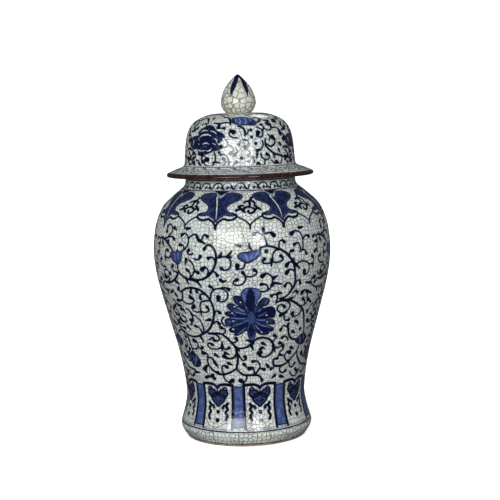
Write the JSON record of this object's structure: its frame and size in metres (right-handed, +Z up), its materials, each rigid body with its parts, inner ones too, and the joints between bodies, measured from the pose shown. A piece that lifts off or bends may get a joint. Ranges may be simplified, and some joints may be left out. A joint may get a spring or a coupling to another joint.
{
  "type": "lidded ginger jar",
  "caption": "Baluster ginger jar with a lift-off domed lid and bud finial, painted with blue scrolling flowers under crackle glaze, for display or dry storage.",
  "frame": {"origin": "middle of the foot ring's standing face, on the turning axis", "axes": "+Z up the turning axis towards the finial; -Y is the side that faces the viewer"},
  "size_m": [0.2244, 0.2244, 0.457],
  "materials": {
    "painted_crackle_glaze": "glossy crackle glaze over cobalt blue painting",
    "bare_stoneware": "matt unglazed clay, fired tan to iron brown"
  },
  "bodies": {
    "jar": {"jar_lower_section": "painted_crackle_glaze", "jar_upper_section": "painted_crackle_glaze", "jar_neck_ring": "painted_crackle_glaze"},
    "lid_collar": {"lid_locating_collar": "bare_stoneware"},
    "lid": {"lid_dome": "painted_crackle_glaze", "lid_brim": "painted_crackle_glaze", "lid_finial": "painted_crackle_glaze"}
  },
  "joints": [
    {"name": "lid_lift", "type": "slide", "parent": "jar", "child": "lid_collar", "axis": [0, 0, 1], "range_m": [0, 0.12]},
    {"name": "lid_turn", "type": "hinge", "parent": "lid_collar", "child": "lid", "pos_m": [0, 0, 0.337], "axis": [0, 0, 1], "continuous": true}
  ]
}
